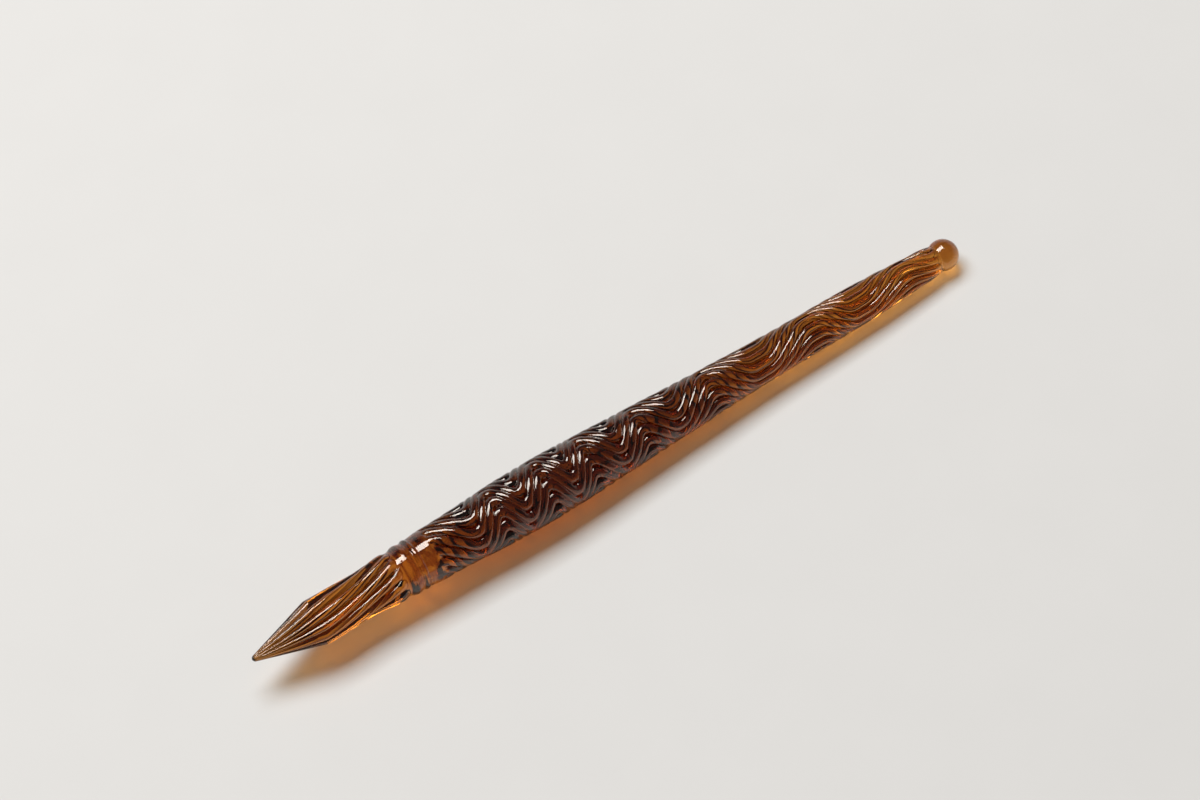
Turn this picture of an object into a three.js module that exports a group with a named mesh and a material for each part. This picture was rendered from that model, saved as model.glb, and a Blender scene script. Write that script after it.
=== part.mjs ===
// A hand-made amber glass dip pen, in millimetres, lying on a table as it rests there.
//
// The pen is lamp work. A fluted nib is drawn out to a point, twelve glass threads are laid along
// a core rod and twisted back and forth, and gathers of glass close the two ends of that barrel.
// Along the pen, a station is a distance in millimetres from the writing point.
import * as THREE from "three";

// Fits

// Left open between two pieces that the flame joins.
const fuseGap = 0.3;

// Nib: a fluted cone, a shoulder, a slight waist, then flutes that twist up to the joint

const nibLength = 33.8;
const nibTipRadius = 0.5;
const nibConeLength = 14.6;
const nibConeSlope = 0.302;
const nibShoulderRadius = 4.95;
const nibShoulderLength = 4.2;
const nibWaistRadius = 4.72;
const nibWaistStation = 26;
const nibBackRadius = 5.2;
const nibBackRounding = 1.9;
const nibFluteCount = 12;
const nibFirstRidge = 24;
const nibFluteDepth = 1.15;
const nibFlank = { across: 0.27, down: 0.45 };
const nibFluteRunOut = 0.7;
const nibTwistStart = 6;
const nibTwist = -62;
const nibTwistSteps = 7;

// Joint: the gather behind the nib, and the ring of glass wrapped round the seam

const beadLength = 2.9;
const beadEndRadius = 4.75;
const beadRadius = 5.4;
const ringWidth = 1.1;
const ringHeight = 0.6;
const ringEdge = 0.05;
const neckStubRadius = 4.6;

// Neck: the smooth gather in front of the threads

const neckLength = 2.1;
const neckFrontRadius = 5.3;
const neckBackRadius = 5.5;

// Barrel: outer radius over the threads at the end of each stretch, from the neck to the ball

const barrelFrontRadius = 5.62;
const barrelStretches = [
  { over: 19.4, radius: 6.42 },
  { over: 10.5, radius: 6.5 },
  { over: 25.5, radius: 5.46 },
  { over: 25.5, radius: 4.48 },
  { over: 25.5, radius: 4.12 },
  { over: 17.3, radius: 3.36 },
];

// Threads: how many, how thick, and how they were twisted back and forth along the barrel. Each
// twist is as long as over and leaves the threads turned by the angle to. A twist that keeps the
// angle holds them straight.

const threadCount = 12;
const threadHeightAtBelly = 1.3;
const threadHeightAtTail = 0.8;
const threadSideGap = 0.42;
const threadFirstAngle = 146;
const threadStartTurn = -33;
const threadTwists = [
  { over: 10, to: 38 },
  { over: 5.6, to: -33 },
  { over: 5.5, to: 38 },
  { over: 5.9, to: -33 },
  { over: 5.4, to: 38 },
  { over: 4.7, to: -33 },
  { over: 7.1, to: 38 },
  { over: 5.9, to: -33 },
  { over: 7.8, to: 37 },
  { over: 9.4, to: -49 },
  { over: 10.4, to: 38 },
  { over: 2.5, to: 38 },
  { over: 11.3, to: -42 },
  { over: 1.7, to: -42 },
  { over: 9.3, to: 31 },
  { over: 2.2, to: 31 },
  { over: 11.2, to: -22 },
  { over: 7.8, to: 6 },
];
const threadEase = 0.25;
const threadFrontRounding = 2.2;
const threadBackRounding = 1.2;
const threadTipLift = 0.2;

// End ball

const ballRadius = 3.3;
const ballDepthInRod = 1.6;

// Facets

const roundFacets = 24;
const profileSteps = 6;
const ballSteps = 7;
const coreStep = 5;
const threadSectionPoints = 6;
const twistShares = [0, 0.2, 0.5, 0.8];
const roundingShares = [0.06, 0.3, 0.65];
const leastStep = 0.3;
const restSamples = 400;

// Stations, each worked out from the lengths above

const total = (steps) => steps.reduce((sum, step) => sum + step.over, 0);
const beadStart = nibLength + fuseGap;
const beadEnd = beadStart + beadLength;
const ringStart = beadEnd + fuseGap;
const ringEnd = ringStart + ringWidth;
const neckShoulder = ringEnd + fuseGap;
const neckEnd = neckShoulder + neckLength;
const barrelStart = neckEnd + fuseGap;
const barrelEnd = barrelStart + total(barrelStretches);
const ballFace = barrelEnd + fuseGap;
const ballCentre = ballFace + ballRadius - ballDepthInRod;
const penLength = ballCentre + ballRadius;

// Curves along the pen

const degrees = (angle) => (angle * Math.PI) / 180;

// Goes from 0 to 1, gathering speed over the first share of the way and losing it over the last.
function ease(way, share) {
  const t = THREE.MathUtils.clamp(way, 0, 1);
  const speed = 1 / (1 - share);
  if (t < share) return (speed * t ** 2) / (2 * share);
  if (t > 1 - share) return 1 - (speed * (1 - t) ** 2) / (2 * share);
  return speed * (t - share / 2);
}

// A smooth curve of radius against station through the given marks, with level ends.
function radiusThrough(marks, station) {
  const last = marks.length - 1;
  const x = THREE.MathUtils.clamp(station, marks[0].at, marks[last].at);
  let i = 0;
  while (i < last - 1 && x > marks[i + 1].at) i += 1;
  const slopeAt = (k) => {
    if (k === 0 || k === last) return 0;
    return (marks[k + 1].radius - marks[k - 1].radius) / (marks[k + 1].at - marks[k - 1].at);
  };
  const span = marks[i + 1].at - marks[i].at;
  const t = (x - marks[i].at) / span;
  const rise = marks[i + 1].radius - marks[i].radius;
  const bend = slopeAt(i) * span * t * (1 - t) ** 2 - slopeAt(i + 1) * span * t ** 2 * (1 - t);
  return marks[i].radius + rise * t ** 2 * (3 - 2 * t) + bend;
}

function marksAlong(start, firstRadius, stretches) {
  const marks = [{ at: start, radius: firstRadius }];
  for (const stretch of stretches) {
    marks.push({ at: marks.at(-1).at + stretch.over, radius: stretch.radius });
  }
  return marks;
}

const barrelMarks = marksAlong(barrelStart, barrelFrontRadius, barrelStretches);
const barrelRadius = (station) => radiusThrough(barrelMarks, station);
const bellyRadius = Math.max(...barrelMarks.map((mark) => mark.radius));
const tailRadius = barrelMarks.at(-1).radius;

// The threads thin out with the barrel, because both were drawn together.
function threadHeight(station) {
  const t = (barrelRadius(station) - tailRadius) / (bellyRadius - tailRadius);
  return THREE.MathUtils.lerp(threadHeightAtTail, threadHeightAtBelly, t);
}

// A thread's foot is flat between its two edges, so the core lies a little deeper than they do.
const threadFoot = (station) => barrelRadius(station) - threadHeight(station);
const threadBed = (station) => threadFoot(station) * Math.cos(Math.PI / threadCount);
const coreRadius = (station) => threadBed(station) - fuseGap;

// How far the threads have turned round the core at a station, in degrees.
function threadTurn(station) {
  let from = barrelStart;
  let turn = threadStartTurn;
  for (const twist of threadTwists) {
    if (station < from + twist.over) {
      return THREE.MathUtils.lerp(turn, twist.to, ease((station - from) / twist.over, threadEase));
    }
    from += twist.over;
    turn = twist.to;
  }
  return turn;
}

// Outer radius of the nib over its flutes.
const coneEndRadius = nibTipRadius + nibConeSlope * nibConeLength;
const shoulderEnd = nibConeLength + nibShoulderLength;
const nibBodyMarks = [
  { at: nibConeLength, radius: coneEndRadius },
  { at: shoulderEnd, radius: nibShoulderRadius },
  { at: nibWaistStation, radius: nibWaistRadius },
  { at: nibLength - nibBackRounding, radius: nibBackRadius },
];

function nibRadius(station) {
  if (station < nibConeLength) return nibTipRadius + nibConeSlope * station;
  return radiusThrough(nibBodyMarks, station);
}

// The flutes deepen along the cone, and run out where the nib's back end is rounded.
function nibFlute(station) {
  const opened = Math.min(station / nibConeLength, 1) * nibFluteDepth;
  const runOut = ease((station - nibLength + nibBackRounding) / nibBackRounding, 0.5);
  return opened * (1 - nibFluteRunOut * runOut);
}

function nibTurn(station) {
  const t = THREE.MathUtils.clamp((station - nibTwistStart) / (nibLength - nibTwistStart), 0, 1);
  return nibTwist * t ** 2;
}

// Solids

// A point at a station, a distance from the pen's axis and an angle round it, in degrees.
function onPen(station, radius, angle) {
  const a = degrees(angle);
  return [station, radius * Math.cos(a), radius * Math.sin(a)];
}

// A closed solid through rings that hold equal numbers of points, with a point at each end. Each
// patch between two rings is split along its shorter diagonal, so twisted ones don't sink in.
function loft(firstPoint, rings, lastPoint) {
  const count = rings[0].length;
  const positions = [firstPoint, ...rings.flat(), lastPoint];
  const end = positions.length - 1;
  const corner = (ring, i) => 1 + ring * count + (i % count);
  const reach = (a, b) => Math.hypot(...positions[a].map((value, k) => value - positions[b][k]));
  const indices = [];
  for (let i = 0; i < count; i += 1) {
    indices.push(0, corner(0, i + 1), corner(0, i));
    for (let ring = 0; ring < rings.length - 1; ring += 1) {
      const [a, b] = [corner(ring, i), corner(ring, i + 1)];
      const [c, d] = [corner(ring + 1, i + 1), corner(ring + 1, i)];
      if (reach(a, c) < reach(b, d)) indices.push(a, b, c, a, c, d);
      else indices.push(a, b, d, b, c, d);
    }
    indices.push(end, corner(rings.length - 1, i), corner(rings.length - 1, i + 1));
  }
  const geometry = new THREE.BufferGeometry();
  geometry.setAttribute("position", new THREE.Float32BufferAttribute(positions.flat(), 3));
  geometry.setIndex(indices);
  geometry.computeVertexNormals();
  return geometry;
}

// A turned solid about the pen's axis, from a profile of [station, radius] pairs.
function turned(profile) {
  const points = profile.map(([station, radius]) => new THREE.Vector2(radius, station));
  const geometry = new THREE.LatheGeometry(points, roundFacets);
  geometry.rotateZ(-Math.PI / 2);
  return geometry;
}

// Nib ring: each flute has a rounded ridge and a groove half way to the next one.
function nibRing(station, radius) {
  const pitch = 360 / nibFluteCount;
  const depth = nibFlute(station);
  const flank = radius - nibFlank.down * depth;
  const ring = [];
  for (let i = 0; i < nibFluteCount; i += 1) {
    const ridge = nibFirstRidge + i * pitch + nibTurn(station);
    ring.push(onPen(station, radius, ridge));
    ring.push(onPen(station, flank, ridge + nibFlank.across * pitch));
    ring.push(onPen(station, radius - depth, ridge + 0.5 * pitch));
    ring.push(onPen(station, flank, ridge + (1 - nibFlank.across) * pitch));
  }
  return ring;
}

function nib() {
  const rings = [];
  // The writing point is a small round end.
  for (const lift of [35, 65]) {
    const station = nibTipRadius * (1 - Math.cos(degrees(lift)));
    rings.push(nibRing(station, nibRadius(station) * Math.sin(degrees(lift))));
  }
  const stations = [nibTipRadius, 3, 6, 9, 12, nibConeLength, shoulderEnd - nibShoulderLength / 2];
  const bodyEnd = nibLength - nibBackRounding;
  for (let i = 0; i <= nibTwistSteps; i += 1) {
    stations.push(THREE.MathUtils.lerp(shoulderEnd, bodyEnd, i / nibTwistSteps));
  }
  for (const station of stations) rings.push(nibRing(station, nibRadius(station)));
  // The ridges end in round fingers against the joint bead.
  for (const lift of [30, 60]) {
    const station = bodyEnd + nibBackRounding * Math.sin(degrees(lift));
    const drop = nibFluteDepth * (1 - Math.cos(degrees(lift)));
    rings.push(nibRing(station, nibBackRadius - drop));
  }
  rings.push(nibRing(nibLength, nibBackRadius - nibFluteDepth));
  return loft([0, 0, 0], rings, [nibLength, 0, 0]);
}

// Joint bead: a flat-ended gather that swells between its two seats.
function jointBead() {
  const profile = [[beadStart, 0]];
  for (let i = 0; i <= profileSteps; i += 1) {
    const t = i / profileSteps;
    const swell = (beadRadius - beadEndRadius) * Math.sqrt(Math.sin(Math.PI * t));
    profile.push([beadStart + beadLength * t, beadEndRadius + swell]);
  }
  profile.push([beadEnd, 0]);
  return turned(profile);
}

// Joint ring: a half-round band round the neck's stub, between the bead and the neck's shoulder.
function jointRing() {
  const inner = neckStubRadius + fuseGap;
  const profile = [];
  for (let i = 0; i <= profileSteps; i += 1) {
    const t = i / profileSteps;
    const round = ringHeight * Math.sqrt(Math.sin(Math.PI * t));
    profile.push([ringStart + ringWidth * t, inner + ringEdge + round]);
  }
  profile.push([ringEnd, inner]);
  profile.push([ringStart, inner]);
  profile.push(profile[0]);
  return turned(profile);
}

// Neck: a stub that carries the ring, a round shoulder, and a flat seat for the core rod.
function neck() {
  const profile = [
    [beadEnd + fuseGap, 0],
    [beadEnd + fuseGap, neckStubRadius],
    [neckShoulder, neckStubRadius],
  ];
  for (let i = 1; i <= profileSteps; i += 1) {
    const t = i / profileSteps;
    const round = (neckFrontRadius - neckStubRadius) * Math.sin((Math.PI / 2) * t ** 0.5);
    const flare = (neckBackRadius - neckFrontRadius) * t;
    profile.push([neckShoulder + neckLength * t, neckStubRadius + round + flare]);
  }
  profile.push([neckEnd, 0]);
  return turned(profile);
}

function coreRod() {
  const profile = [[barrelStart, 0]];
  const steps = Math.ceil((barrelEnd - barrelStart) / coreStep);
  for (let i = 0; i <= steps; i += 1) {
    const station = THREE.MathUtils.lerp(barrelStart, barrelEnd, i / steps);
    profile.push([station, coreRadius(station)]);
  }
  profile.push([barrelEnd, 0]);
  return turned(profile);
}

// Half-round section of one thread. Its middle facet is the top, so the height is measured there.
function threadRing(station, angle, share) {
  const foot = threadFoot(station);
  const pitch = 360 / threadCount;
  const sideGap = THREE.MathUtils.radToDeg(threadSideGap / foot);
  const halfWidth = (share * (pitch - sideGap)) / 2;
  const topPoint = Math.floor((threadSectionPoints - 1) / 2);
  const flatTop = Math.sin((Math.PI * topPoint) / (threadSectionPoints - 1));
  const ring = [];
  for (let i = 0; i < threadSectionPoints; i += 1) {
    const q = (Math.PI * i) / (threadSectionPoints - 1);
    const height = (share * threadHeight(station) * Math.sin(q)) / flatTop;
    ring.push(onPen(station, foot + height, angle - halfWidth * Math.cos(q)));
  }
  return ring;
}

// Stations of a thread's sections: closest where a twist begins and ends, and in the two ends.
function threadStations() {
  const stations = [];
  let from = barrelStart;
  let turn = threadStartTurn;
  for (const twist of threadTwists) {
    const shares = twist.to === turn ? [0] : twistShares;
    for (const share of shares) stations.push(from + twist.over * share);
    from += twist.over;
    turn = twist.to;
  }
  const first = barrelStart + threadFrontRounding;
  const last = barrelEnd - threadBackRounding;
  const clear = (station) => station > first + leastStep && station < last - leastStep;
  const opening = roundingShares.map((t) => barrelStart + t * threadFrontRounding);
  const closing = roundingShares.map((t) => barrelEnd - t * threadBackRounding).reverse();
  return [...opening, first, ...stations.filter(clear), last, ...closing];
}

// How full a thread is: 1 along its run, and less in its rounded ends.
function threadFullness(station) {
  const fromFront = (station - barrelStart) / threadFrontRounding;
  const fromBack = (barrelEnd - station) / threadBackRounding;
  const fromEnd = Math.min(fromFront, fromBack, 1);
  return Math.sqrt(1 - (1 - fromEnd) ** 2);
}

function thread(index) {
  const rings = [];
  const centres = [];
  for (const station of threadStations()) {
    const share = threadFullness(station);
    const angle = threadFirstAngle + (index * 360) / threadCount + threadTurn(station);
    rings.push(threadRing(station, angle, share));
    centres.push(onPen(station, threadFoot(station) + threadTipLift * share, angle));
  }
  return loft(centres[0], rings, centres.at(-1));
}

// End ball: a ball of clear glass with a flat seat where it is fused to the rod.
function endBall() {
  const seatAngle = Math.acos((ballRadius - ballDepthInRod) / ballRadius);
  const profile = [[ballFace, 0]];
  for (let i = 0; i < ballSteps; i += 1) {
    const angle = THREE.MathUtils.lerp(seatAngle, Math.PI, i / ballSteps);
    profile.push([ballCentre - ballRadius * Math.cos(angle), ballRadius * Math.sin(angle)]);
  }
  profile.push([penLength, 0]);
  return turned(profile);
}

// Finishes

const honeyGlass = 0xd08a2c;
const amberGlass = 0xb5651d;
const cognacGlass = 0x6e2f12;

function piece(name, geometry, colour) {
  const material = new THREE.MeshStandardMaterial({ color: colour, roughness: 0.04, metalness: 0 });
  const mesh = new THREE.Mesh(geometry, material);
  mesh.name = name;
  return mesh;
}

// Rest: the pen lies on its belly and on its tail, with the nib in the air

function outerRadius(station) {
  if (station < beadStart) return nibRadius(station);
  if (station < barrelStart) return beadRadius;
  if (station < ballFace) return barrelRadius(station);
  return Math.sqrt(Math.max(ballRadius ** 2 - (station - ballCentre) ** 2, 0));
}

// Finds how far the axis drops toward the tail, by tipping a straight edge along the outline
// until it bears on both sides of the balance point.
function restingTilt() {
  const stations = [];
  for (let i = 0; i <= restSamples; i += 1) stations.push((penLength * i) / restSamples);
  let moment = 0;
  let volume = 0;
  for (const station of stations) {
    moment += station * outerRadius(station) ** 2;
    volume += outerRadius(station) ** 2;
  }
  const balance = moment / volume;
  let low = 0;
  let high = 1;
  for (let i = 0; i < 40; i += 1) {
    const slope = (low + high) / 2;
    const reach = stations.map((station) => outerRadius(station) + slope * station);
    const contact = stations[reach.indexOf(Math.max(...reach))];
    if (contact < balance) low = slope;
    else high = slope;
  }
  return Math.atan(low);
}

// Assembly

const pen = new THREE.Group();
pen.add(piece("nib", nib(), honeyGlass));
pen.add(piece("joint_bead", jointBead(), honeyGlass));
pen.add(piece("joint_ring", jointRing(), honeyGlass));
pen.add(piece("neck", neck(), honeyGlass));
pen.add(piece("core_rod", coreRod(), cognacGlass));
for (let i = 0; i < threadCount; i += 1) {
  const number = String(i + 1).padStart(2, "0");
  pen.add(piece(`barrel_thread_${number}`, thread(i), amberGlass));
}
pen.add(piece("end_ball", endBall(), honeyGlass));
pen.rotation.y = restingTilt();

// The origin is at the bottom centre of the lying pen, with the nib toward -X.
const model = new THREE.Group();
model.add(pen);
model.updateMatrixWorld(true);
const box = new THREE.Box3().setFromObject(model, true);
const centre = box.getCenter(new THREE.Vector3());
pen.position.set(-centre.x, -centre.y, -box.min.z);

export default model;
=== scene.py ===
"""A hand-made amber glass dip pen, lying on its belly and its tail.

Sizes are in metres and angles in degrees. Along the pen, a station is a distance from the
writing point. Each piece is one closed body of glass, swept along the pen's axis by the same
node tree.
"""

import math

import bpy
from mathutils import Matrix, Vector


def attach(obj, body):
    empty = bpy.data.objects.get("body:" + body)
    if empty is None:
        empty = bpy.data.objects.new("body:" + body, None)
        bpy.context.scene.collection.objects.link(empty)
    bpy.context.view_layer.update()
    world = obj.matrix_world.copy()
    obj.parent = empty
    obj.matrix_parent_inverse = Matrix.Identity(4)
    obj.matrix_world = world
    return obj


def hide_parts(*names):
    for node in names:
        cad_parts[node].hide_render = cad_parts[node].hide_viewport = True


bl_info = {
    "name": "Glass dip pen",
    "version": (1, 0, 0),
    "blender": (4, 5, 0),
    "location": "3D View > Sidebar > Glass pen",
    "description": "Builds an amber glass dip pen and a pale studio round it",
    "category": "Object",
}

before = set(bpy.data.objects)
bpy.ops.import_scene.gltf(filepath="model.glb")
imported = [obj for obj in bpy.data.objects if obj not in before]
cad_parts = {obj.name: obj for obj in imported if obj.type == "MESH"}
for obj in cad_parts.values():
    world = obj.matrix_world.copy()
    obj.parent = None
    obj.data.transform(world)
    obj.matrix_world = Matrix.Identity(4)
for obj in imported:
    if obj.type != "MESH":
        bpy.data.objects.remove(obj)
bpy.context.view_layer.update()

MM = 0.001
BODY = "root"

# Sizes

FUSE_GAP = 0.3 * MM

NIB_LENGTH = 33.8 * MM
NIB_TIP_RADIUS = 0.5 * MM
NIB_CONE_LENGTH = 14.6 * MM
NIB_CONE_SLOPE = 0.302
NIB_SHOULDER_RADIUS = 4.95 * MM
NIB_SHOULDER_LENGTH = 4.2 * MM
NIB_WAIST_RADIUS = 4.72 * MM
NIB_WAIST_STATION = 26 * MM
NIB_BACK_RADIUS = 5.2 * MM
NIB_BACK_ROUNDING = 1.9 * MM
FLUTE_RUN_OUT = 3.6 * MM
NIB_FIRST_RIDGE = 24
NIB_TWIST_START = 6 * MM
NIB_TWIST = -62
NIB_SOFTNESS = 0.5
NIB_WANDER_SHARE = 1.5
NIB_UNEVENNESS_SHARE = 0.8
NIB_WANDER_LENGTH = 9 * MM
RIDGE_NARROWING = 0.97

BEAD_LENGTH = 2.9 * MM
BEAD_FRONT_RADIUS = 4.85 * MM
BEAD_RADIUS = 5.38 * MM
SEAM_RADIUS = 5.12 * MM
RING_WIDTH = 1.1 * MM
RING_RADIUS = 5.4 * MM
RING_FULLNESS = 0.7
NECK_LENGTH = 2.1 * MM
NECK_FRONT_RADIUS = 5.25 * MM
NECK_BACK_RADIUS = 5.5 * MM
HAIRLINE = 0.02 * MM
SEAM_EDGE = 0.05 * MM

BARREL_FRONT_RADIUS = 5.62 * MM
BARREL_STRETCHES = (
    (19.4 * MM, 6.42 * MM),
    (10.5 * MM, 6.5 * MM),
    (25.5 * MM, 5.46 * MM),
    (25.5 * MM, 4.48 * MM),
    (25.5 * MM, 4.12 * MM),
    (17.3 * MM, 3.36 * MM),
)
RIB_FIRST_ANGLE = 146
RIB_FRONT_ROUNDING = 2.2 * MM
RIB_CREST_RISE = 0.6
RIB_FADE = 3.2 * MM
RIB_SOFTNESS = 0.48
RIB_WANDER_LENGTH = 6 * MM
GROOVE_MELT = 0.06
TAIL_RADIUS = 2.9 * MM

# Each twist of the ribs, from the neck to the tail: how long it is, and how far round the ribs
# stand at its end, in degrees. Two rows with the same angle hold the ribs straight.
RIB_START_TURN = -33
RIB_TWISTS = (
    (10.0 * MM, 38),
    (5.6 * MM, -33),
    (5.5 * MM, 38),
    (5.9 * MM, -33),
    (5.4 * MM, 38),
    (4.7 * MM, -33),
    (7.1 * MM, 38),
    (5.9 * MM, -33),
    (7.8 * MM, 37),
    (9.4 * MM, -49),
    (10.4 * MM, 38),
    (2.5 * MM, 38),
    (11.3 * MM, -42),
    (1.7 * MM, -42),
    (9.3 * MM, 31),
    (2.2 * MM, 31),
    (11.2 * MM, -22),
    (7.8 * MM, 6),
)
TWIST_EASE = 0.25
RIB_FLATTENING = 1.4

BALL_RADIUS = 3.3 * MM
BALL_DEPTH_IN_ROD = 1.6 * MM

# How far apart the rows of a path stand, and how many facets go round one rib
NIB_STEP = 0.2 * MM
JOINT_STEP = 0.12 * MM
BARREL_STEP = 0.28 * MM
RIB_FACETS = 16

BEAD_START = NIB_LENGTH + FUSE_GAP
BEAD_END = BEAD_START + BEAD_LENGTH
SEAM = BEAD_END + FUSE_GAP / 2
RING_START = BEAD_END + FUSE_GAP
RING_END = RING_START + RING_WIDTH
NECK_SHOULDER = RING_END + FUSE_GAP
NECK_END = NECK_SHOULDER + NECK_LENGTH
BARREL_START = NECK_END + FUSE_GAP
BARREL_END = BARREL_START + sum(over for over, radius in BARREL_STRETCHES)
BALL_FACE = BARREL_END + FUSE_GAP
BALL_CENTRE = BALL_FACE + BALL_RADIUS - BALL_DEPTH_IN_ROD
BALL_SEAT = math.acos((BALL_RADIUS - BALL_DEPTH_IN_ROD) / BALL_RADIUS)
BALL_SEAT_RADIUS = BALL_RADIUS * math.sin(BALL_SEAT)
PEN_LENGTH = BALL_CENTRE + BALL_RADIUS


# Curves along the pen


def clamp(value, low=0.0, high=1.0):
    return min(max(value, low), high)


def lerp(a, b, t):
    return a + (b - a) * t


def ease(t, share=0.5):
    """Eases from 0 to 1: it speeds up over a share of the way, keeps its speed and slows down."""
    t = clamp(t)
    top = 1 / (1 - share)
    if t < share:
        return top * t**2 / (2 * share)
    if t > 1 - share:
        return 1 - top * (1 - t) ** 2 / (2 * share)
    return top * (t - share / 2)


def radius_through(marks, station):
    """A smooth curve of radius against station through the given marks, with level ends."""
    last = len(marks) - 1
    x = clamp(station, marks[0][0], marks[last][0])
    i = 0
    while i < last - 1 and x > marks[i + 1][0]:
        i += 1

    def slope_at(k):
        if k in (0, last):
            return 0
        return (marks[k + 1][1] - marks[k - 1][1]) / (marks[k + 1][0] - marks[k - 1][0])

    span = marks[i + 1][0] - marks[i][0]
    t = (x - marks[i][0]) / span
    rise = marks[i + 1][1] - marks[i][1]
    bend = slope_at(i) * span * t * (1 - t) ** 2 - slope_at(i + 1) * span * t**2 * (1 - t)
    return marks[i][1] + rise * t**2 * (3 - 2 * t) + bend


def barrel_marks():
    marks = [(BARREL_START, BARREL_FRONT_RADIUS)]
    for over, radius in BARREL_STRETCHES:
        marks.append((marks[-1][0] + over, radius))
    return marks


def barrel_radius(station):
    return radius_through(barrel_marks(), station)


def rib_height(station, sizes):
    """The ribs thin out with the barrel, and flatten where the twist draws them aslant."""
    radii = [radius for over, radius in BARREL_STRETCHES]
    t = (barrel_radius(station) - radii[-1]) / (max(radii) - radii[-1])
    height = lerp(sizes.rib_height_at_tail, sizes.rib_height_at_belly, t)
    reach = 0.4 * MM
    swing = math.radians(rib_turn(station + reach) - rib_turn(station - reach))
    aslant = barrel_radius(station) * swing / (2 * reach)
    return height * math.cos(math.atan(aslant)) ** RIB_FLATTENING


def rib_turn(station):
    """How far the ribs have turned round the barrel at a station, in degrees."""
    start, turn = BARREL_START, RIB_START_TURN
    for over, end_turn in RIB_TWISTS:
        if station < start + over:
            return lerp(turn, end_turn, ease((station - start) / over, TWIST_EASE))
        start, turn = start + over, end_turn
    return turn


def nib_radius(station):
    if station < NIB_CONE_LENGTH:
        return NIB_TIP_RADIUS + NIB_CONE_SLOPE * station
    marks = (
        (NIB_CONE_LENGTH, NIB_TIP_RADIUS + NIB_CONE_SLOPE * NIB_CONE_LENGTH),
        (NIB_CONE_LENGTH + NIB_SHOULDER_LENGTH, NIB_SHOULDER_RADIUS),
        (NIB_WAIST_STATION, NIB_WAIST_RADIUS),
        (NIB_LENGTH - NIB_BACK_ROUNDING, NIB_BACK_RADIUS),
    )
    return radius_through(marks, station)


def nib_turn(station):
    t = clamp((station - NIB_TWIST_START) / (NIB_LENGTH - NIB_TWIST_START))
    return NIB_TWIST * t**2


# Paths: each row is a station, the radius at the foot of the ribs, the ribs' height, how full
# the ribs are there from 0 to 1, and how far they have turned, in degrees.


def evenly(start, end, step):
    """Values from start to end, both among them, about a step apart."""
    count = max(1, round((end - start) / step))
    return [lerp(start, end, i / count) for i in range(count + 1)]


def flat_front(station, radius, rounding):
    """Rows of a flat seat with a rounded edge, from the axis outwards."""
    rows = [(station, radius * t, 0, 1, 0) for t in (0, 0.4, 0.8)]
    for degrees in (0, 30, 60):
        a = math.radians(degrees)
        at = station + rounding * (1 - math.cos(a))
        rows.append((at, radius - rounding * (1 - math.sin(a)), 0, 1, 0))
    return rows


def flat_back(station, radius, rounding):
    """Rows of a flat seat that faces the tail, from the rounded edge inwards."""
    rows = [(2 * station - at, *rest) for at, *rest in flat_front(station, radius, rounding)]
    return rows[::-1]


def turned(rows, turn):
    """The rows, all turned alike."""
    return [(*row[:4], turn) for row in rows]


def joint_radius(station):
    """The joint's outline: the bead, the seam, the ring round it and the neck."""
    marks = (
        (NIB_LENGTH, BEAD_FRONT_RADIUS),
        (BEAD_START + 0.5 * BEAD_LENGTH, BEAD_RADIUS),
        (SEAM, SEAM_RADIUS),
        (NECK_SHOULDER, NECK_FRONT_RADIUS),
        (BARREL_START, NECK_BACK_RADIUS),
    )
    t = clamp((station - RING_START) / RING_WIDTH)
    ring = (RING_RADIUS - SEAM_RADIUS) * math.sin(math.pi * t) ** RING_FULLNESS
    return radius_through(marks, station) + ring


def nib_path(sizes):
    """From the writing point to the seam: the round tip, the fluted body and the bead."""
    rows = [(0, 0, 0, 1, 0)]
    for degrees in (15, 30, 45, 60, 75):
        a = math.radians(degrees)
        station = NIB_TIP_RADIUS * (1 - math.cos(a))
        rows.append((station, nib_radius(station) * math.sin(a), 0, 1, 0))
    body_end = NIB_LENGTH - NIB_BACK_ROUNDING
    for station in evenly(NIB_TIP_RADIUS, NIB_LENGTH, NIB_STEP):
        depth = sizes.flute_depth * min(station / NIB_CONE_LENGTH, 1)
        crest = nib_radius(station)
        closing = clamp((station - body_end) / NIB_BACK_ROUNDING)
        rising = clamp((station - NIB_LENGTH + FLUTE_RUN_OUT) / FLUTE_RUN_OUT)
        foot = lerp(crest - depth, BEAD_FRONT_RADIUS, ease(rising))
        crest = lerp(crest, BEAD_FRONT_RADIUS, ease(closing) ** 2)
        full = math.sqrt(1 - min(closing, RIDGE_NARROWING) ** 2)
        rows.append((station, foot, max(crest - foot, 0), full, nib_turn(station)))
    end = SEAM - HAIRLINE / 2
    for station in evenly(NIB_LENGTH, end - SEAM_EDGE, JOINT_STEP)[1:]:
        rows.append((station, joint_radius(station), 0, 1, NIB_TWIST))
    return rows + turned(flat_back(end, joint_radius(end), SEAM_EDGE), NIB_TWIST)


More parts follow.
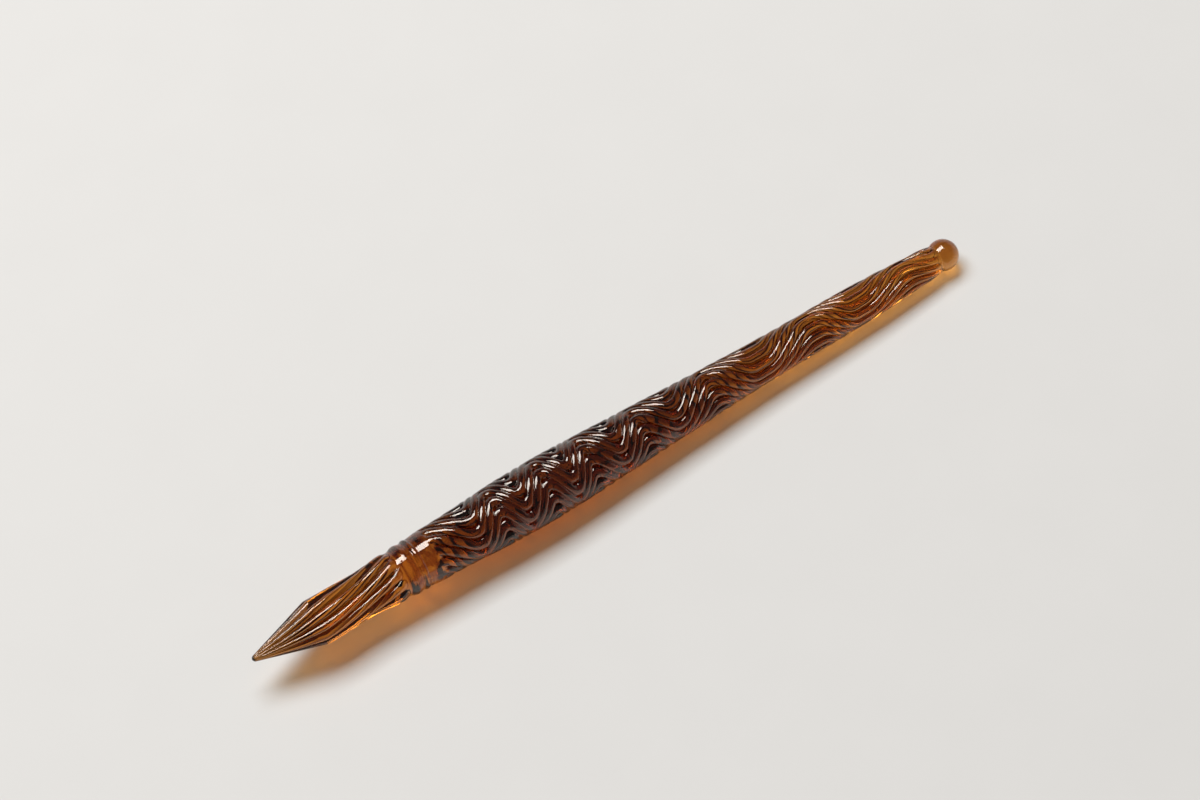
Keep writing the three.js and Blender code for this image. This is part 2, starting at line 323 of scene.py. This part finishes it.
def barrel_path(sizes):
    """From the seam to the ball: the ring, the neck and the ribs, which fade out at the tail."""
    start, start_turn = SEAM + HAIRLINE / 2, rib_turn(BARREL_START)
    rows = turned(flat_front(start, joint_radius(start), SEAM_EDGE), start_turn)
    for station in evenly(start + SEAM_EDGE, BARREL_START, JOINT_STEP):
        rows.append((station, joint_radius(station), 0, 1, start_turn))
    for station in evenly(BARREL_START, BARREL_END, BARREL_STEP)[1:]:
        outer = barrel_radius(station)
        foot = outer - rib_height(station, sizes)
        opening = clamp((station - BARREL_START) / RIB_FRONT_ROUNDING)
        foot = lerp(NECK_BACK_RADIUS, foot, ease(opening))
        fading = clamp(1 - (BARREL_END - station) / RIB_FADE)
        foot = lerp(foot, TAIL_RADIUS, ease(fading))
        crest = lerp(NECK_BACK_RADIUS, outer, ease(opening / RIB_CREST_RISE))
        crest = lerp(crest, TAIL_RADIUS, fading**2)
        full = math.sqrt(1 - (1 - opening) ** 2)
        rows.append((station, foot, max(crest - foot, 0), full, rib_turn(station)))
    end, end_turn = BARREL_END + FUSE_GAP - HAIRLINE, rib_turn(BARREL_END)
    rows.append((end - SEAM_EDGE, BALL_SEAT_RADIUS, 0, 1, end_turn))
    return rows + turned(flat_back(end, BALL_SEAT_RADIUS, SEAM_EDGE), end_turn)


def ball_path():
    """From the flat seat against the rod, round the ball to its pole."""
    rows = [(BALL_FACE, BALL_SEAT_RADIUS * t, 0, 1, 0) for t in (0, 0.5, 0.97)]
    for a in evenly(BALL_SEAT, math.pi, 0.05)[:-1]:
        rows.append((BALL_CENTRE - BALL_RADIUS * math.cos(a), BALL_RADIUS * math.sin(a), 0, 1, 0))
    rows.append((PEN_LENGTH, 0, 0, 1, 0))
    return rows


# Settings


def colour_setting(name, description, default):
    return bpy.props.FloatVectorProperty(
        name=name,
        description=description,
        default=default,
        subtype="COLOR",
        size=3,
        min=0,
        max=1,
    )


def length_setting(name, description, default):
    return bpy.props.FloatProperty(
        name=name, description=description, default=default, unit="LENGTH", precision=5
    )


def angle_setting(name, description, degrees):
    return bpy.props.FloatProperty(
        name=name,
        description=description,
        default=math.radians(degrees),
        subtype="ANGLE",
        unit="ROTATION",
    )


class GLASSPEN_PG_sizes(bpy.types.PropertyGroup):
    """Sizes of the pen that a maker would change."""

    flute_count: bpy.props.IntProperty(
        name="Nib Flutes", description="Flutes that hold the ink", default=12, min=6, max=16
    )
    flute_depth: length_setting("Flute Depth", "Depth of a flute where the nib is full", 1.15 * MM)
    rib_count: bpy.props.IntProperty(
        name="Barrel Ribs", description="Threads laid along the core", default=12, min=6, max=16
    )
    rib_height_at_belly: length_setting(
        "Rib Height at Belly", "How far a rib stands out where the barrel is thickest", 1.15 * MM
    )
    rib_height_at_tail: length_setting(
        "Rib Height at Tail", "How far a rib stands out beside the end ball", 0.7 * MM
    )
    wander: angle_setting(
        "Rib Wander", "How far a rib and its groove stray sideways from an even spacing", 2.6
    )
    unevenness: length_setting(
        "Rib Unevenness", "How far the ribs' height strays from even", 0.16 * MM
    )
    seed: bpy.props.IntProperty(
        name="Seed", description="Chooses how the ribs stray", default=4, min=0
    )


class GLASSPEN_PG_glass(bpy.types.PropertyGroup):
    """Colours of the glass."""

    point: colour_setting("Point", "Shade of the writing point", (0.80, 0.43, 0.14))
    nib: colour_setting("Nib", "Shade of the nib", (0.97, 0.69, 0.26))
    honey: colour_setting("Honey", "Shade of the joint and the tail", (0.95, 0.68, 0.27))
    cognac: colour_setting("Cognac", "Shade of the belly", (0.38, 0.19, 0.06))
    ball: colour_setting("Ball", "Shade of the end ball", (0.84, 0.56, 0.22))
    absorbs: colour_setting(
        "Absorption", "Colour that light takes on as it crosses the glass", (0.86, 0.67, 0.27)
    )
    density: bpy.props.FloatProperty(
        name="Density",
        description="How fast the glass takes up light, per metre",
        default=420,
        min=0,
    )


class GLASSPEN_PG_stage(bpy.types.PropertyGroup):
    """The floor and the camera."""

    floor_colour: colour_setting("Floor", "Colour of the floor", (0.61, 0.596, 0.574))
    azimuth: angle_setting("Camera Azimuth", "Where the camera stands round the pen", -34.79)
    elevation: angle_setting("Camera Elevation", "How high the camera stands over the floor", 60)
    distance: length_setting("Camera Distance", "From the camera to the point it looks at", 1.19)


# Node trees


class Wiring:
    """Short ways to add nodes to a tree and link them."""

    def __init__(self, tree):
        self.tree = tree

    def add(self, kind, inputs=None, **settings):
        node = self.tree.nodes.new(kind)
        for name, value in settings.items():
            setattr(node, name, value)
        for name, value in (inputs or {}).items():
            self.put(node.inputs[name], value)
        return node

    def put(self, socket, value):
        if isinstance(value, bpy.types.NodeSocket):
            self.tree.links.new(value, socket)
        else:
            socket.default_value = value

    def maths(self, operation, *values):
        node = self.add("ShaderNodeMath", operation=operation)
        for socket, value in zip(node.inputs, values):
            self.put(socket, value)
        return node.outputs[0]

    def mix(self, factor, a, b):
        """a where the factor is 0, and b where it is 1."""
        return self.maths("MULTIPLY_ADD", factor, self.maths("SUBTRACT", b, a), a)

    def join(self, x, y, z):
        return self.add("ShaderNodeCombineXYZ", {"X": x, "Y": y, "Z": z}).outputs[0]

    def round_axis(self, station, radius, angle):
        """A point beside the X axis, at an angle round it."""
        y = self.maths("MULTIPLY", radius, self.maths("COSINE", angle))
        return self.join(station, y, self.maths("MULTIPLY", radius, self.maths("SINE", angle)))

    def eased(self, value, low, high):
        """0 where the value is low, 1 where it is high, and smooth between."""
        node = self.add(
            "ShaderNodeMapRange",
            {"Value": value, "From Min": low, "From Max": high},
            interpolation_type="SMOOTHSTEP",
        )
        return node.outputs[0]

    def blended(self, factor, a, b, **settings):
        """Colour a where the factor is 0, and b, or a multiplied by b, where it is 1."""
        inputs = {"Factor": factor, "A": a, "B": b}
        return self.add("ShaderNodeMix", inputs, data_type="RGBA", **settings).outputs["Result"]

    def store(self, geometry, name, value, kind="FLOAT"):
        """Keeps a value on every point under a name."""
        node = self.add(
            "GeometryNodeStoreNamedAttribute",
            {"Geometry": geometry, "Name": name, "Value": value},
            data_type=kind,
            domain="POINT",
        )
        return node.outputs[0]


def float_input(tree, name, default, subtype="NONE"):
    socket = tree.interface.new_socket(name=name, in_out="INPUT", socket_type="NodeSocketFloat")
    socket.subtype = subtype
    socket.default_value = default


ROD_TREE = "Ribbed glass rod"
# The step in the noise from one rib to the next, so that no two ribs stray alike
NOISE_APART = 7.31
FULL_RIB_HEIGHT = 0.8 * MM
FULL_CUT_SHARE = 0.1
UNTWISTED_RADIUS = 5 * MM
MERGE_DISTANCE = 1e-6
GROOVE_BOTTOM = 0.97


def rod_tree():
    """A tree that sweeps a path into a ribbed rod of glass, closed at both ends."""
    tree = bpy.data.node_groups.new(ROD_TREE, "GeometryNodeTree")
    tree.is_modifier = True
    tree.interface.new_socket(name="Path", in_out="INPUT", socket_type="NodeSocketGeometry")
    whole_numbers = (("Rib Count", 12), ("Facets in a Rib", RIB_FACETS), ("Seed", 0))
    for name, default in whole_numbers:
        socket = tree.interface.new_socket(name=name, in_out="INPUT", socket_type="NodeSocketInt")
        socket.default_value = default
    float_input(tree, "First Rib Angle", 0, "ANGLE")
    float_input(tree, "Rib Softness", 0.5)
    float_input(tree, "Groove Melt", GROOVE_MELT)
    float_input(tree, "Wander", 0, "ANGLE")
    float_input(tree, "Unevenness", 0, "DISTANCE")
    float_input(tree, "Wander Length", RIB_WANDER_LENGTH, "DISTANCE")
    float_input(tree, "Axis Tilt", 0, "ANGLE")
    for name, kind in (("Writing Point", "NodeSocketVector"), ("Glass", "NodeSocketMaterial")):
        tree.interface.new_socket(name=name, in_out="INPUT", socket_type=kind)
    tree.interface.new_socket(name="Rod", in_out="OUTPUT", socket_type="NodeSocketGeometry")

    w = Wiring(tree)
    given = w.add("NodeGroupInput").outputs
    facets = w.maths("MULTIPLY", given["Rib Count"], given["Facets in a Rib"])
    circle = w.add("GeometryNodeCurvePrimitiveCircle", {"Resolution": facets, "Radius": 1.0})
    index = w.add("GeometryNodeInputIndex").outputs[0]
    section = w.store(circle.outputs["Curve"], "around", w.maths("DIVIDE", index, facets))
    axis = w.add("GeometryNodeMeshToCurve", {"Mesh": given["Path"]})
    swept = w.add(
        "GeometryNodeCurveToMesh",
        {"Curve": axis.outputs[0], "Profile Curve": section, "Fill Caps": False},
    )

    def stored(name):
        node = w.add("GeometryNodeInputNamedAttribute", {"Name": name}, data_type="FLOAT")
        return node.outputs["Attribute"]

    station, foot, height = stored("station"), stored("foot"), stored("rib_height")
    full, turn, around = stored("fullness"), stored("turn"), stored("around")

    # The side is how far round a rib a point is: 0 on the rib's back, 1 in the groove beside it.
    phase = w.maths("MULTIPLY", around, given["Rib Count"])
    nearest = w.maths("ROUND", phase)
    rib = w.maths("MODULO", nearest, given["Rib Count"])
    groove = w.maths("FLOOR", phase)
    off_back = w.maths("ABSOLUTE", w.maths("SUBTRACT", phase, nearest))
    side = w.maths("MULTIPLY", off_back, 2.0)

    def stray(number, offset):
        """Slow noise along one rib or groove, from -1 to 1."""
        along = w.maths("DIVIDE", station, given["Wander Length"])
        place = w.join(along, w.maths("MULTIPLY", number, NOISE_APART), offset)
        noise = w.add(
            "ShaderNodeTexNoise",
            {"Vector": place, "W": given["Seed"], "Scale": 1.0, "Detail": 1.0},
            noise_dimensions="4D",
        )
        return w.maths("MULTIPLY_ADD", noise.outputs[0], 2.0, -1.0)

    # A back and a groove stray on their own, and the flank between them follows both.
    in_groove = w.maths("MULTIPLY", side, side)
    shift = w.mix(in_groove, stray(rib, 1.7), stray(groove, 5.3))
    lift = w.mix(in_groove, stray(rib, 11.9), stray(groove, 17.1))
    sunk = w.maths("MULTIPLY_ADD", lift, 0.5, -0.5)

    # The rib's section is a half round that narrows with its fullness.
    share = w.maths("MAXIMUM", full, 0.001)
    reach = w.maths("MINIMUM", w.maths("DIVIDE", side, share), 1.0)
    kept = w.maths("SUBTRACT", 1.0, given["Groove Melt"])
    bulge = w.maths("SUBTRACT", 1.0, w.maths("MULTIPLY", kept, w.maths("MULTIPLY", reach, reach)))
    bulge = w.maths("POWER", bulge, given["Rib Softness"])
    least = w.maths("POWER", given["Groove Melt"], given["Rib Softness"])
    bulge = w.maths("DIVIDE", w.maths("SUBTRACT", bulge, least), w.maths("SUBTRACT", 1.0, least))
    radius = w.maths("MULTIPLY_ADD", height, bulge, foot)

    # How full a rib stands, by its height alone and by its share of the radius. A low rib strays
    # less, and a thin rod with low ribs, as the nib's point has, still has sharp grooves with
    # painted shade in them.
    ribbed = w.maths("MINIMUM", w.maths("DIVIDE", height, FULL_RIB_HEIGHT), 1.0)
    full_cut = w.maths("MULTIPLY", foot, FULL_CUT_SHARE)
    cut = w.maths("MINIMUM", w.maths("DIVIDE", height, full_cut), 1.0)
    depth = w.maths("MULTIPLY", w.maths("ADD", ribbed, cut), 0.5)
    sinking = w.maths("MULTIPLY", sunk, given["Unevenness"])
    radius = w.maths("MULTIPLY_ADD", sinking, ribbed, radius)
    angle = w.maths("MULTIPLY_ADD", around, math.tau, given["First Rib Angle"])
    angle = w.maths("ADD", angle, turn)
    angle = w.maths("MULTIPLY_ADD", w.maths("MULTIPLY", shift, given["Wander"]), ribbed, angle)
    placed = w.add(
        "GeometryNodeSetPosition",
        {"Geometry": swept.outputs[0], "Position": w.round_axis(station, radius, angle)},
    )
    # The in_groove value is the mask for the painted shade that darkens the glass in the grooves.
    grooved = w.store(placed.outputs[0], "in_groove", w.maths("MULTIPLY", side, depth))

    # Where each point was before the ribs were twisted, so that a pattern follows the ribs.
    whole_turn = w.maths("MULTIPLY", around, math.tau)
    untwisted = w.round_axis(station, UNTWISTED_RADIUS, whole_turn)
    drawn = w.store(grooved, "untwisted", untwisted, "FLOAT_VECTOR")
    closed = w.add(
        "GeometryNodeMergeByDistance", {"Geometry": drawn, "Distance": MERGE_DISTANCE}
    )
    laid = w.add(
        "GeometryNodeTransform",
        {
            "Geometry": closed.outputs[0],
            "Translation": given["Writing Point"],
            "Rotation": w.join(0.0, given["Axis Tilt"], 0.0),
        },
    )

    # Two ribs meet in a crease, so the edge along the bottom of a groove is sharp.
    smooth = w.add("GeometryNodeSetShadeSmooth", {"Geometry": laid.outputs[0]})
    deepest = w.maths("GREATER_THAN", w.maths("MULTIPLY", side, cut), GROOVE_BOTTOM)
    smooth = w.add(
        "GeometryNodeSetShadeSmooth",
        {"Geometry": smooth.outputs[0], "Selection": deepest, "Shade Smooth": False},
        domain="EDGE",
    )
    real = w.add("GeometryNodeRealizeInstances", {"Geometry": smooth.outputs[0]})
    glazed = w.add(
        "GeometryNodeSetMaterial", {"Geometry": real.outputs[0], "Material": given["Glass"]}
    )
    out = w.add("NodeGroupOutput")
    tree.links.new(glazed.outputs[0], out.inputs["Rod"])
    return tree


def pen_axis():
    """The writing point and the axis tilt in radians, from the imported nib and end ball."""
    tip = min((v.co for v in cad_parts["nib"].data.vertices), key=lambda co: co.x)
    pole = max((v.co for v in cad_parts["end_ball"].data.vertices), key=lambda co: co.x)
    along = pole - tip
    return tip.copy(), math.atan2(-along.z, along.x)


ATTRIBUTES = ("station", "foot", "rib_height", "fullness", "turn")
LEAST_APART = 1e-9


def path_mesh(name, rows):
    """A chain of edges that holds the rows as attributes, with no two points in one place."""
    mesh = bpy.data.meshes.new(name)
    points = [(row[0] + i * LEAST_APART, 0, 0) for i, row in enumerate(rows)]
    mesh.from_pydata(points, [(i, i + 1) for i in range(len(rows) - 1)], [])
    for column, attribute in enumerate(ATTRIBUTES):
        values = [row[column] for row in rows]
        if attribute == "turn":
            values = [math.radians(value) for value in values]
        mesh.attributes.new(attribute, "FLOAT", "POINT").data.foreach_set("value", values)
    return mesh


def blow(name, rows, replaced, inputs):
    """Makes one piece of glass from the rows of its path, as a plain mesh in the pen's place."""
    tree = bpy.data.node_groups.get(ROD_TREE) or rod_tree()
    piece = bpy.data.objects.new(name, path_mesh(name, rows))
    bpy.context.scene.collection.objects.link(piece)
    point, tilt = pen_axis()
    values = {"Axis Tilt": tilt, "Writing Point": point, "Glass": amber_glass(), **inputs}
    modifier = piece.modifiers.new("Rod", "NODES")
    modifier.node_group = tree
    for item in tree.interface.items_tree:
        if item.in_out == "INPUT" and item.name in values:
            modifier[item.identifier] = values.pop(item.name)
    if values:
        raise RuntimeError(f"the rod tree has no inputs named {sorted(values)}")
    evaluated = piece.evaluated_get(bpy.context.evaluated_depsgraph_get())
    mesh = bpy.data.meshes.new_from_object(evaluated)
    if not mesh.polygons:
        raise RuntimeError(f"{name} came out empty")
    piece.modifiers.remove(modifier)
    piece.data = mesh
    mesh.name = name
    for attribute in (*ATTRIBUTES, "around"):
        if attribute in mesh.attributes:
            mesh.attributes.remove(mesh.attributes[attribute])
    face_outwards(mesh)
    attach(piece, BODY)
    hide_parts(*replaced)


def face_outwards(mesh):
    """Turns the faces round if the closed mesh is inside out."""
    mesh.calc_loop_triangles()
    volume = 0
    for triangle in mesh.loop_triangles:
        a, b, c = (mesh.vertices[i].co for i in triangle.vertices)
        volume += a.dot(b.cross(c)) / 6
    if volume < 0:
        mesh.flip_normals()
    mesh.update()


# Glass

GLASS = "Amber glass"
REFRACTION = 1.64
HIGHLIGHT_TINT = (1.0, 0.93, 0.84, 1)
SHADOW_TINT = (0.55, 0.52, 0.48, 1)
STREAK_TINT = (0.84, 0.66, 0.44, 1)
GROOVE_PAINTED_SHADE = (0.22, 0.12, 0.08, 1)
SWIRL_TINT = (0.40, 0.20, 0.08, 1)
SWIRL_STATION = 39.5 * MM
SWIRL_REACH = 8 * MM


def shade_ramp(w, station, shades):
    """The glass's shade along the pen, through pairs of a station and a colour."""
    ramp = w.add("ShaderNodeValToRGB", {"Fac": w.maths("DIVIDE", station, PEN_LENGTH)})
    ramp.color_ramp.interpolation = "EASE"
    while len(ramp.color_ramp.elements) < len(shades):
        ramp.color_ramp.elements.new(0.5)
    for element, (at, shade) in zip(ramp.color_ramp.elements, shades):
        element.position = at / PEN_LENGTH
        element.color = (*shade, 1)
    return ramp.outputs[0]


def swirled(w, place, station):
    """How deep the swirls are where the nib and the barrel were joined in the flame."""
    noise = w.add(
        "ShaderNodeTexNoise", {"Vector": place, "Scale": 230.0, "Detail": 1.0, "Distortion": 2.2}
    )
    away = w.maths("ABSOLUTE", w.maths("SUBTRACT", station, SWIRL_STATION))
    near = w.eased(away, SWIRL_REACH, 0.6 * SWIRL_REACH)
    return w.maths("MULTIPLY", w.eased(noise.outputs[0], 0.46, 0.60), near)


def glass(name, absorbs, density, shades):
    """Clear amber glass with drawn streaks in it and a faintly uneven, fire-polished skin.

    Thick glass is deeper because light is absorbed on its way through. The shades are pairs of
    a station and a colour, and make the belly deeper still. The grooves are painted darker, a
    painted shade for the dark lines that refraction shows there, and the swirls at the joint are
    tinted deeper.
    """
    material = bpy.data.materials.new(name)
    material.use_nodes = True
    tree = material.node_tree
    tree.nodes.clear()
    w = Wiring(tree)
    drawn = w.add("ShaderNodeAttribute", attribute_name="untwisted").outputs["Vector"]
    station = w.add("ShaderNodeSeparateXYZ", {"Vector": drawn}).outputs["X"]
    groove = w.add("ShaderNodeAttribute", attribute_name="in_groove").outputs["Fac"]
    place = w.add("ShaderNodeTexCoord").outputs["Object"]

    streaks = w.add("ShaderNodeMapping", {"Vector": drawn, "Scale": (90, 900, 900)})
    streak_noise = w.add(
        "ShaderNodeTexNoise", {"Vector": streaks.outputs[0], "Scale": 1.0, "Detail": 3.0}
    )
    deep = w.add(
        "ShaderNodeMapRange",
        {"Value": streak_noise.outputs[0], "From Min": 0.35, "From Max": 0.68},
    )
    colour = shade_ramp(w, station, shades)
    # The streaks and the swirls tint the glass; the groove mask paints shade into the grooves.
    for factor, tint in (
        (deep.outputs[0], STREAK_TINT),
        (w.eased(groove, 0.25, 0.90), GROOVE_PAINTED_SHADE),
        (swirled(w, place, station), SWIRL_TINT),
    ):
        colour = w.blended(factor, colour, tint, blend_type="MULTIPLY")

    ripples = w.add("ShaderNodeTexNoise", {"Vector": place, "Scale": 420.0, "Detail": 2.0})
    lines = w.add("ShaderNodeMapping", {"Vector": drawn, "Scale": (160, 2600, 2600)})
    line_noise = w.add("ShaderNodeTexNoise", {"Vector": lines.outputs[0], "Scale": 1.0})
    skin = w.maths("MULTIPLY_ADD", line_noise.outputs[0], 0.3, ripples.outputs[0])
    bump = w.add("ShaderNodeBump", {"Height": skin, "Strength": 0.15, "Distance": 0.1 * MM})
    polish = w.add(
        "ShaderNodeMapRange",
        {"Value": ripples.outputs[0], "To Min": 0.0, "To Max": 0.03},
    )
    principled = w.add(
        "ShaderNodeBsdfPrincipled",
        {
            "Base Color": colour,
            "Roughness": polish.outputs[0],
            "IOR": REFRACTION,
            "Specular Tint": HIGHLIGHT_TINT,
            "Transmission Weight": 1.0,
            "Normal": bump.outputs[0],
        },
    )

    # Light goes through the glass to the floor, so the pen's shadow is amber and not black.
    path = w.add("ShaderNodeLightPath")
    clear = w.add("ShaderNodeBsdfTransparent", {"Color": SHADOW_TINT})
    surface = w.add("ShaderNodeMixShader", {"Fac": path.outputs["Is Shadow Ray"]})
    tree.links.new(principled.outputs[0], surface.inputs[1])
    tree.links.new(clear.outputs[0], surface.inputs[2])
    inside = w.add("ShaderNodeVolumeAbsorption", {"Color": (*absorbs, 1), "Density": density})
    out = w.add("ShaderNodeOutputMaterial")
    tree.links.new(surface.outputs[0], out.inputs["Surface"])
    tree.links.new(inside.outputs[0], out.inputs["Volume"])
    return material


def amber_glass():
    """The glass of the whole pen, made once: honey at both ends and cognac in the belly."""
    if GLASS in bpy.data.materials:
        return bpy.data.materials[GLASS]
    glasses = bpy.context.scene.glass_pen_glass
    shades = (
        (1 * MM, glasses.point),
        (20 * MM, glasses.nib),
        (36 * MM, glasses.honey),
        (52 * MM, glasses.cognac),
        (95 * MM, glasses.cognac),
        (150 * MM, glasses.honey),
        (166 * MM, glasses.ball),
    )
    return glass(GLASS, glasses.absorbs, glasses.density, shades)


# Pieces


class GLASSPEN_OT_nib(bpy.types.Operator):
    """Makes the fluted nib, drawn out to the writing point"""

    bl_idname = "glasspen.nib"
    bl_label = "Nib"

    def execute(self, context):
        sizes = context.scene.glass_pen_sizes
        inputs = {
            "Rib Count": sizes.flute_count,
            "Facets in a Rib": RIB_FACETS,
            "First Rib Angle": math.radians(NIB_FIRST_RIDGE),
            "Rib Softness": NIB_SOFTNESS,
            "Groove Melt": GROOVE_MELT,
            "Wander": sizes.wander * NIB_WANDER_SHARE,
            "Unevenness": sizes.unevenness * NIB_UNEVENNESS_SHARE,
            "Wander Length": NIB_WANDER_LENGTH,
            "Seed": sizes.seed,
        }
        blow("nib_glass", nib_path(sizes), ["nib", "joint_bead"], inputs)
        return {"FINISHED"}


class GLASSPEN_OT_barrel(bpy.types.Operator):
    """Makes the neck and the ribbed barrel as one run of fused glass"""

    bl_idname = "glasspen.barrel"
    bl_label = "Barrel"

    def execute(self, context):
        sizes = context.scene.glass_pen_sizes
        threads = [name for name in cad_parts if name.startswith("barrel_thread_")]
        replaced = ["joint_ring", "neck", "core_rod", *threads]
        inputs = {
            "Rib Count": sizes.rib_count,
            "Facets in a Rib": RIB_FACETS,
            "First Rib Angle": math.radians(RIB_FIRST_ANGLE),
            "Rib Softness": RIB_SOFTNESS,
            "Groove Melt": GROOVE_MELT,
            "Wander": sizes.wander,
            "Unevenness": sizes.unevenness,
            "Wander Length": RIB_WANDER_LENGTH,
            "Seed": sizes.seed,
        }
        blow("barrel_glass", barrel_path(sizes), replaced, inputs)
        return {"FINISHED"}


class GLASSPEN_OT_ball(bpy.types.Operator):
    """Makes the ball that closes the tail"""

    bl_idname = "glasspen.ball"
    bl_label = "End ball"

    def execute(self, context):
        inputs = {"Rib Count": 8, "Facets in a Rib": 12}
        blow("end_ball_glass", ball_path(), ["end_ball"], inputs)
        return {"FINISHED"}


# Stage

FLOOR_HALF_WIDTH = 1.3
SOFTBOX_PLACE = (-0.17, 0.90, 1.83)
SOFTBOX_SIZE = (1.60, 0.92)
SOFTBOX_POWER = 60
WALLS = (0.74, 0.725, 0.70, 1)
FRONT_WALL = (0.20, 0.19, 0.18, 1)
CEILING = (0.10, 0.10, 0.10, 1)
CAMERA_LENS = 179.06
CAMERA_TARGET = (0.0045, 0.0106, 0.006)


def softbox(name, place, size, power):
    """A soft lamp that faces the pen, with its width along the pen and its height across it."""
    lamp = bpy.data.lights.new(name, "AREA")
    lamp.shape = "RECTANGLE"
    lamp.size, lamp.size_y = size
    lamp.energy = power
    back = Vector(place).normalized()
    along = (Vector((1, 0, 0)) - back * back.x).normalized()
    facing = Matrix((along, back.cross(along), back)).transposed()
    lamp_object = bpy.data.objects.new(name, lamp)
    lamp_object.matrix_world = Matrix.Translation(place) @ facing.to_4x4()
    bpy.context.scene.collection.objects.link(lamp_object)


def floor_material(colour):
    material = bpy.data.materials.new("Pale floor")
    material.use_nodes = True
    w = Wiring(material.node_tree)
    place = w.add("ShaderNodeTexCoord").outputs["Object"]
    grain = w.add("ShaderNodeTexNoise", {"Vector": place, "Scale": 60.0, "Detail": 4.0})
    darker = tuple(0.97 * c for c in colour)
    tone = w.blended(grain.outputs[0], (*colour, 1), (*darker, 1))
    shader = material.node_tree.nodes["Principled BSDF"]
    w.put(shader.inputs["Base Color"], tone)
    shader.inputs["Roughness"].default_value = 0.7
    shader.inputs["Specular IOR Level"].default_value = 0.2
    return material


def studio_world():
    """A pale room whose ceiling and front wall are darker than its other walls."""
    world = bpy.data.worlds.new("Studio")
    world.use_nodes = True
    tree = world.node_tree
    tree.nodes.clear()
    w = Wiring(tree)
    outwards = w.add("ShaderNodeTexCoord").outputs["Generated"]
    direction = w.add("ShaderNodeSeparateXYZ", {"Vector": outwards}).outputs
    in_front = w.eased(direction["Y"], -0.35, -0.8)
    overhead = w.eased(direction["Z"], 0.1, 0.4)
    colour = w.blended(overhead, w.blended(in_front, WALLS, FRONT_WALL), CEILING)
    back = w.add("ShaderNodeBackground", {"Color": colour, "Strength": 1.0})
    out = w.add("ShaderNodeOutputWorld")
    tree.links.new(back.outputs[0], out.inputs["Surface"])
    bpy.context.scene.world = world


def make_camera(settings):
    """A camera that stands round the pen and looks at its middle."""
    a, e = settings.azimuth, settings.elevation
    back = Vector((math.sin(a) * math.cos(e), -math.cos(a) * math.cos(e), math.sin(e)))
    camera = bpy.data.cameras.new("Camera")
    camera.lens = CAMERA_LENS
    camera.clip_start, camera.clip_end = 0.01, 100
    holder = bpy.data.objects.new("Camera", camera)
    holder.location = Vector(CAMERA_TARGET) + back * settings.distance
    holder.rotation_euler = (-back).to_track_quat("-Z", "Y").to_euler()
    bpy.context.scene.collection.objects.link(holder)
    bpy.context.scene.camera = holder


class GLASSPEN_OT_stage(bpy.types.Operator):
    """Makes the floor, the lamp, the world and the camera"""

    bl_idname = "glasspen.stage"
    bl_label = "Stage"

    def execute(self, context):
        settings = context.scene.glass_pen_stage
        half = FLOOR_HALF_WIDTH
        mesh = bpy.data.meshes.new("floor")
        corners = [(-half, -half, 0), (half, -half, 0), (half, half, 0), (-half, half, 0)]
        mesh.from_pydata(corners, [], [(0, 1, 2, 3)])
        mesh.materials.append(floor_material(settings.floor_colour))
        floor = bpy.data.objects.new("floor", mesh)
        context.scene.collection.objects.link(floor)
        softbox("Key softbox", SOFTBOX_PLACE, SOFTBOX_SIZE, SOFTBOX_POWER)
        studio_world()
        make_camera(settings)
        context.scene.view_settings.view_transform = "Standard"
        return {"FINISHED"}


class GLASSPEN_PT_panel(bpy.types.Panel):
    """Lists the pen's pieces and sizes in the sidebar"""

    bl_label = "Glass pen"
    bl_idname = "GLASSPEN_PT_panel"
    bl_space_type = "VIEW_3D"
    bl_region_type = "UI"
    bl_category = "Glass pen"

    def draw(self, context):
        layout = self.layout
        for group in (
            context.scene.glass_pen_sizes,
            context.scene.glass_pen_glass,
            context.scene.glass_pen_stage,
        ):
            box = layout.box()
            for name in group.__annotations__:
                box.prop(group, name)
        for operator in OPERATORS:
            layout.operator(operator.bl_idname)


GROUPS = {
    "glass_pen_sizes": GLASSPEN_PG_sizes,
    "glass_pen_glass": GLASSPEN_PG_glass,
    "glass_pen_stage": GLASSPEN_PG_stage,
}
OPERATORS = (
    GLASSPEN_OT_nib,
    GLASSPEN_OT_barrel,
    GLASSPEN_OT_ball,
    GLASSPEN_OT_stage,
)


def register():
    for cls in (*GROUPS.values(), *OPERATORS, GLASSPEN_PT_panel):
        bpy.utils.register_class(cls)
    for name, group in GROUPS.items():
        setattr(bpy.types.Scene, name, bpy.props.PointerProperty(type=group))


def unregister():
    for name in GROUPS:
        delattr(bpy.types.Scene, name)
    for cls in reversed((*GROUPS.values(), *OPERATORS, GLASSPEN_PT_panel)):
        bpy.utils.unregister_class(cls)


def main():
    register()
    bpy.ops.glasspen.nib()
    bpy.ops.glasspen.barrel()
    bpy.ops.glasspen.ball()
    bpy.ops.glasspen.stage()


if __name__ == "__main__":
    main()
